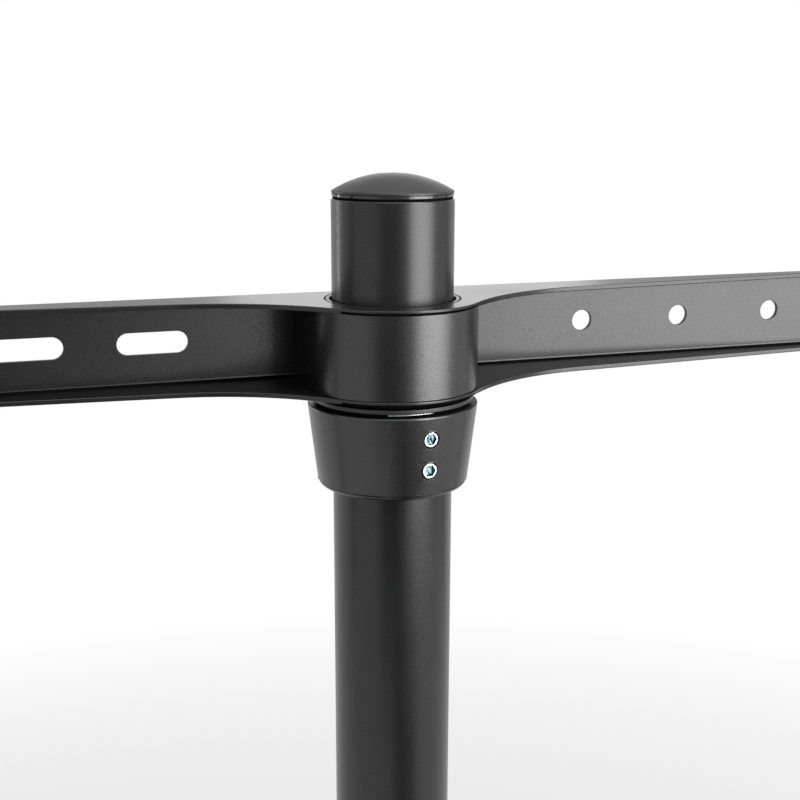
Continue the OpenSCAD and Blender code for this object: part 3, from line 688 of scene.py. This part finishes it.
def bar_joint(edge):
    """Lower rims of the bar's two plates round the sleeve."""
    reach = [off_axis(vert.co) for vert in edge.verts]
    round_sleeve = min(reach) > PLATE_REACH and max(reach) < SLEEVE_REACH
    return level_edge(edge) and round_sleeve and on_level(edge, BAR_WALL, BAR_DEPTH)


def bush_hole(edge):
    """Upper rim of the bar's hole for the upper bush, apart from where it meets the upright wall."""
    round_hole = all(off_axis(vert.co) < HOLE_REACH and vert.co.y > WALL_SIDE for vert in edge.verts)
    return level_edge(edge) and round_hole and on_level(edge, 0.0)


def bush_bore(edge):
    """Upper rim of the upper bush's bore."""
    return all(off_axis(vert.co) < BORE_REACH for vert in edge.verts) and on_level(edge, 0.0)


def bush_rim(edge):
    """Upper outer rim of the upper bush."""
    return all(off_axis(vert.co) > BUSH_REACH for vert in edge.verts) and on_level(edge, 0.0)


def collar_top(edge):
    """Upper outer rim of the clamp collar."""
    return level_edge(edge) and min(off_axis(vert.co) for vert in edge.verts) > COLLAR_TOP_REACH


def collar_bottom(edge):
    """Lower outer rim of the clamp collar."""
    reach = [off_axis(vert.co) for vert in edge.verts]
    return level_edge(edge) and min(reach) > COLLAR_FOOT_INSIDE and max(reach) < COLLAR_FOOT_OUTSIDE


def slim_rim(bm):
    """Leaves a fine gap between the upper bush's rim and the bar."""
    for vert in bm.verts:
        r = off_axis(vert.co)
        if vert.co.z > HEAD_TOP - BAR_WALL - HAIR and r > BUSH_OUTSIDE:
            vert.co.x *= SLIM_BUSH / r
            vert.co.y *= SLIM_BUSH / r


def shade_inside(bm):
    """Painted shade on top of the bar's lower plate and in its corner, fitted to the photograph: a
    duller, darker coat on the plate and the near-black finish in the corner.
    """
    level = HEAD_TOP - BAR_DEPTH + BAR_WALL
    for face in bm.faces:
        rise = face.calc_center_median().z - level
        if face.normal.z > FACING_UP and abs(rise) < HAIR:
            face.material_index = INNER_SHADE_SLOT
        elif face.normal.z > TILTED_UP and 0.0 < rise < BAR_WALL:
            face.material_index = SHADE_SLOT


def shade_necks(bm):
    """Painted shade: near-black necks above and below the thrust ring's rim, where the photograph has
    dark grooves.
    """
    for face in bm.faces:
        if off_axis(face.calc_center_median()) < NECK_REACH:
            face.material_index = SHADE_SLOT


def screw_line(node):
    """Middle of a set screw, and the level direction that its socket faces."""
    low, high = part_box(node)
    middle = (low + high) / 2
    return middle, Vector((middle.x, middle.y, 0.0)).normalized()


def wide_socket(node, longer):
    """A wider, shallower socket in that set screw, and its end nearer to the collar's face."""
    def shape(bm):
        middle, out = screw_line(node)
        end = max((vert.co - middle).dot(out) for vert in bm.verts)
        for vert in bm.verts:
            off = vert.co - middle
            along = off.dot(out)
            aside = off - out * along
            if aside.length < SOCKET_NEAR and along > SOCKET_FROM:
                aside *= SOCKET_SCALE
                if along < end - SOCKET_RIM:
                    along = end - SOCKET_DEPTH
            if along > 0.0:
                along += longer
            vert.co = middle + aside + out * along
    return shape


def socket_mark(node):
    """Marks the faces inside the socket of that set screw."""
    def mark(bm):
        middle, out = screw_line(node)
        layer = bm.faces.layers.float.new("socket")
        for face in bm.faces:
            offs = [vert.co - middle for vert in face.verts]
            if max((off - out * off.dot(out)).length for off in offs) < SOCKET_REACH:
                face[layer] = 1.0
    return mark


def screw_look(node, longer):
    return {"shape": wide_socket(node, longer), "mark": socket_mark(node), "finish": SCREW_FINISH}


# What some nodes need besides: edges that are rounded first, a change of shape, marks or a finish
SPECIAL = {
    "set_screw_upper": screw_look("set_screw_upper", longer=1.4 * MM),
    "set_screw_lower": screw_look("set_screw_lower", longer=0.6 * MM),
    # Painted shadow: the plates' lower rims round the sleeve and the bush hole's rim take the near-black
    # finish, for the shadow in these joints
    "swivel_bar": {
        "passes": (
            (bar_joint, 1.05 * MM, PAINTED_SHADE), (bush_hole, 0.20 * MM, PAINTED_SHADE), (bar_outline, 0.38 * MM, LIT),
        ),
        "mark": shade_inside,
    },
    "bar_sleeve": {"finish": GRAINED_SHEEN_FINISH},
    "clamp_collar": {
        "passes": ((collar_top, 0.80 * MM, LIT), (collar_bottom, 0.35 * MM, LIT)),
        "finish": GRAINED_SHEEN_FINISH,
    },
    # Painted shadow: a wide near-black rounding on the bore's rim stands in for the shadow round the
    # column's foot, and the outer rim takes painted shade too
    "upper_bush": {
        "passes": ((bush_bore, 1.10 * MM, PAINTED_SHADE), (bush_rim, 0.20 * MM, PAINTED_SHADE)),
        "shape": slim_rim,
    },
    "thrust_ring": {"mark": shade_necks},
}
for node, width in BROKEN_EDGES.items():
    broken_edges(node + "_piece", node, width * MM, **SPECIAL.get(node, {}))
for node in ("stop_pin", "base_bushes"):
    part = frame["nodes"][node]
    for i in range(len(part.material_slots)):
        part.data.materials[i] = FINISHES[slot_of(node)]


# Glint shim and screw mouths, which have no CAD node; the shim is a painted highlight

# Ends of the glint shim, in degrees to the right of the rear, and its form
GLINT_START = -21.0
GLINT_END = 10.0
GLINT_STEPS = 40
GLINT_NARROWING = 0.85
GLINT_EDGE = 0.5

# A set screw's mouth in the collar: radius and lift off the collar's face in millimetres, and whether
# the near-black painted shade of the hole's wall follows instead of the collar's coat
MOUTH = (
    (3.10, -1.20, 1), (3.10, -0.10, 1), (3.30, 0.03, 1), (3.58, 0.05, 0),
    (3.80, 0.03, 0), (3.95, -0.10, 0), (3.95, -1.20, 1),
)
MOUTH_TURNS = 48
# How much radius the collar loses with depth
COLLAR_TAPER = 4.3 / 35.0


def make_glint_shim():
    """Painted highlight: a bright zinc sliver, shaped as the end of a thin split shim between the thrust
    ring and the collar and narrowing to nothing, that gives a bright line there.
    """
    inner_r = 31.5 * MM
    outer_r = 33.6 * MM
    top_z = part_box("clamp_collar")[1].z + 1.25 * MM
    tall = 0.50 * MM
    bm = bmesh.new()
    edge = bm.faces.layers.float.new("edge")
    rows = []
    for i in range(GLINT_STEPS + 1):
        share = i / GLINT_STEPS
        way = radians(GLINT_START + (GLINT_END - GLINT_START) * share)
        low_z = top_z - tall * (1.0 - GLINT_NARROWING * share)
        corners = ((inner_r, top_z), (outer_r, top_z), (outer_r, low_z), (inner_r, low_z))
        rows.append([bm.verts.new((-r * sin(way), r * cos(way), z)) for r, z in corners])
    for low, high in zip(rows, rows[1:]):
        for j in range(4):
            k = (j + 1) % 4
            face = bm.faces.new((low[j], low[k], high[k], high[j]))
            face[edge] = GLINT_EDGE
    bm.faces.new(rows[0])
    bm.faces.new(rows[-1])
    bmesh.ops.recalc_face_normals(bm, faces=bm.faces)
    shim = plain_piece("glint_shim", bm, [FINISHES["zinc_steel"]])
    return settle(smoothed(shim, FINE_SMOOTH_ANGLE), "collar", "zinc_steel")


def make_screw_mouth(node):
    """Deburred mouth of a screw hole, following the collar's tapered face, with painted shade on its wall
    inside.
    """
    middle, out = screw_line(node)
    side = Vector((0.0, 0.0, 1.0)).cross(out)
    collar_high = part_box("clamp_collar")[1]
    bm = bmesh.new()
    edge = bm.faces.layers.float.new("edge")
    rings = []
    for radius, lift, _ in MOUTH:
        ring = []
        for i in range(MOUTH_TURNS):
            way = 2 * pi * i / MOUTH_TURNS
            aside = radius * MM * cos(way)
            z = middle.z + radius * MM * sin(way)
            face_r = collar_high.x - (collar_high.z - z) * COLLAR_TAPER
            along = sqrt(face_r * face_r - aside * aside) + lift * MM
            point = out * along + side * aside
            ring.append(bm.verts.new((point.x, point.y, z)))
        rings.append(ring)
    for j, (_, _, dark) in enumerate(MOUTH):
        low_ring = rings[j]
        high_ring = rings[(j + 1) % len(rings)]
        for i in range(MOUTH_TURNS):
            k = (i + 1) % MOUTH_TURNS
            face = bm.faces.new((low_ring[i], low_ring[k], high_ring[k], high_ring[i]))
            face.material_index = dark
            face[edge] = 1.0 - dark
    bmesh.ops.recalc_face_normals(bm, faces=bm.faces)
    mouth = plain_piece(node + "_mouth", bm, [GRAINED_SHEEN_FINISH, SHADE_FINISH])
    return settle(smoothed(mouth, FINE_SMOOTH_ANGLE), "collar", "satin_black_steel")


make_glint_shim()
for node in ("set_screw_upper", "set_screw_lower"):
    make_screw_mouth(node)


# Room

def turned_right(turn):
    """Level direction that many degrees to the right of the rear, as the camera sees it."""
    way = radians(turn)
    return Vector((-sin(way), cos(way), 0.0))


def around(turn, distance, height):
    """A place round the head, that many degrees to the right of the rear."""
    return turned_right(turn) * distance + Vector((0.0, 0.0, height))


# Levels that the stand's gloss shows, and shaded wedges in them, fitted to the bands on the column
HEAD = Vector((0.0, 0.0, 1.14))
CAMERA_SIDE = turned_right(-18)
ROOM_LEVEL = 0.87
BEHIND_LEVEL = 0.86
SOFT_LEVEL = 0.5
WORLD_SIDE = turned_right(-22)
WORLD_SHADE = 0.30
WORLD_INNER = radians(12)
WORLD_OUTER = radians(30)
FAR_SIDE = turned_right(-19)
NEAR_SIDE = turned_right(8.5)
FLOOR_SHADE = 0.0
FLOOR_INNER = radians(10)
FLOOR_OUTER = radians(30)
FLOOR_RADIUS = 9.0
FLOOR_SEGMENTS = 96
FLOOR_LEVEL = 0.74

# Lamps: name, place, aim, width, height and watts
LAMPS = (
    ("key_core", around(36, 1.6, 1.335), around(0, 0, 1.335), 0.80, 1.33, 8.7),
    ("key_wide", around(37, 1.6, 1.335), around(0, 0, 1.335), 1.40, 1.33, 26),
    ("key_high", around(38, 1.5, 2.75), HEAD, 0.8, 1.0, 34),
    ("strip_left", around(-139, 1.8, 1.27), around(0, 0, 1.27), 0.15, 1.0, 2.4),
    ("behind", around(161, 2.4, 1.54), HEAD, 0.86, 1.2, 3.4),
    ("top", (0.15, 0.5, 3.4), (0.0, 0.0, 0.0), 1.4, 1.4, 16),
)


def surround(finish, way, side, inner, outer, shade, share):
    """How bright the room shows in the stand's gloss: even, with a shaded wedge on one side."""
    level = finish.vector_math("MULTIPLY", way, (1, 1, 0))
    flat = finish.vector_math("NORMALIZE", level)
    ahead = finish.vector_math("DOT_PRODUCT", flat, side, "Value")
    shaded = finish.stretched(ahead, cos(outer), cos(inner)) * share
    return shaded * (shade - ROOM_LEVEL) + ROOM_LEVEL


def make_floor():
    """Round pale floor that fades into the white background far from the stand. In the stand's gloss it
    glows at the room's level, with the shaded wedges and a painted shadow near the stand.
    """
    bm = bmesh.new()
    bmesh.ops.create_circle(bm, cap_ends=True, segments=FLOOR_SEGMENTS, radius=FLOOR_RADIUS)
    pale = Finish("pale_floor")
    place = pale.place()
    reach = pale.vector_math("LENGTH", place, None, "Value")
    seen = pale.node("ShaderNodeLightPath")
    camera = seen.out("Is Camera Ray")
    gloss = seen.out("Is Glossy Ray")
    white_share = pale.stretched(reach, low=0.9, high=2.4)
    share = (white_share * camera + gloss).clamped()
    far_share = pale.stretched(reach, low=2.0, high=2.6)
    near_share = 1.0 - far_share
    far = surround(pale, place, FAR_SIDE, FLOOR_INNER, FLOOR_OUTER, FLOOR_SHADE, far_share)
    near = surround(pale, place, NEAR_SIDE, FLOOR_INNER, FLOOR_OUTER, FLOOR_SHADE, near_share)
    room = far * near / ROOM_LEVEL
    # Painted shadow: in the stand's gloss the floor shows darker near the stand
    under = pale.stretched(reach, low=0.35, high=0.75, new_low=0.45, new_high=1.0)
    strength = gloss * room * under + (1.0 - gloss)
    diffuse = pale.node("ShaderNodeBsdfDiffuse", None, {"Color": grey(FLOOR_LEVEL)}).out()
    colour = pale.blend(strength, grey(0.0), grey(1.0))
    glow = pale.node("ShaderNodeEmission", None, {"Color": colour, "Strength": 1.0}).out()
    mixed = pale.node("ShaderNodeMixShader", None, {0: share, 1: diffuse, 2: glow}).out()
    pale.node("ShaderNodeOutputMaterial", None, {"Surface": mixed})
    floor = plain_piece("floor", bm, [pale.owner])


def light_world():
    """White behind everything the camera sees, and soft studio light all round."""
    world = bpy.data.worlds.new("studio")
    bpy.context.scene.world = world
    room = Finish("studio", world)
    seen = room.node("ShaderNodeLightPath")
    plain = (seen.out("Is Camera Ray") + seen.out("Is Transmission Ray")).clamped()
    glossy = seen.out("Is Glossy Ray")
    way = room.node("ShaderNodeTexCoord").out("Generated")
    height = room.node("ShaderNodeSeparateXYZ", None, {"Vector": way}).out("Z")
    low = room.stretched(height, low=0.0, high=0.24, new_low=1.0, new_high=0.0)
    ahead = room.vector_math("DOT_PRODUCT", way, CAMERA_SIDE, "Value")
    behind = room.stretched(ahead, low=-0.9, high=-0.3, new_low=BEHIND_LEVEL, new_high=1.0)
    walls = surround(room, way, WORLD_SIDE, WORLD_INNER, WORLD_OUTER, WORLD_SHADE, low)
    gloss = glossy * behind * walls
    soft = SOFT_LEVEL * (1.0 - (plain + glossy).clamped())
    strength = plain + gloss + soft
    colour = room.blend(strength, grey(0.0), grey(1.0))
    glow = room.node("ShaderNodeBackground", None, {"Color": colour, "Strength": 1.0}).out()
    room.node("ShaderNodeOutputWorld", None, {"Surface": glow})


def softbox(name, place, aim, width, height, watts):
    """Rectangular lamp at a place, turned to a point."""
    lamp = bpy.data.lights.new(name, "AREA")
    lamp.shape = "RECTANGLE"
    lamp.size = width
    lamp.size_y = height
    lamp.energy = watts
    stand = bpy.data.objects.new(name, lamp)
    stand.location = place
    way = Vector(aim) - Vector(place)
    stand.rotation_euler = way.to_track_quat("-Z", "Y").to_euler()
    bpy.context.scene.collection.objects.link(stand)


def place_camera():
    """The photograph's view."""
    lens = bpy.data.cameras.new("camera")
    lens.lens = LENS
    lens.sensor_width = SENSOR
    lens.sensor_fit = "HORIZONTAL"
    lens.clip_start = CLIP_START
    camera = bpy.data.objects.new("camera", lens)
    reach = cos(CAMERA_PITCH)
    along = Vector((-sin(CAMERA_YAW) * reach, -cos(CAMERA_YAW) * reach, -sin(CAMERA_PITCH)))
    right = Vector((-cos(CAMERA_YAW), sin(CAMERA_YAW), 0.0))
    up = right.cross(along)
    rolled_right = cos(CAMERA_ROLL) * right + sin(CAMERA_ROLL) * up
    rolled_up = cos(CAMERA_ROLL) * up - sin(CAMERA_ROLL) * right
    turn = Matrix((rolled_right, rolled_up, -along)).transposed()
    camera.matrix_world = Matrix.Translation(CAMERA_PLACE) @ turn.to_4x4()
    bpy.context.scene.collection.objects.link(camera)
    bpy.context.scene.camera = camera


make_floor()
light_world()
for name, place, aim, width, height, watts in LAMPS:
    softbox(name, place, aim, width, height, watts)
place_camera()
bpy.context.scene.view_settings.view_transform = "Standard"


def plain(box):
    return [list(corner) for corner in box]
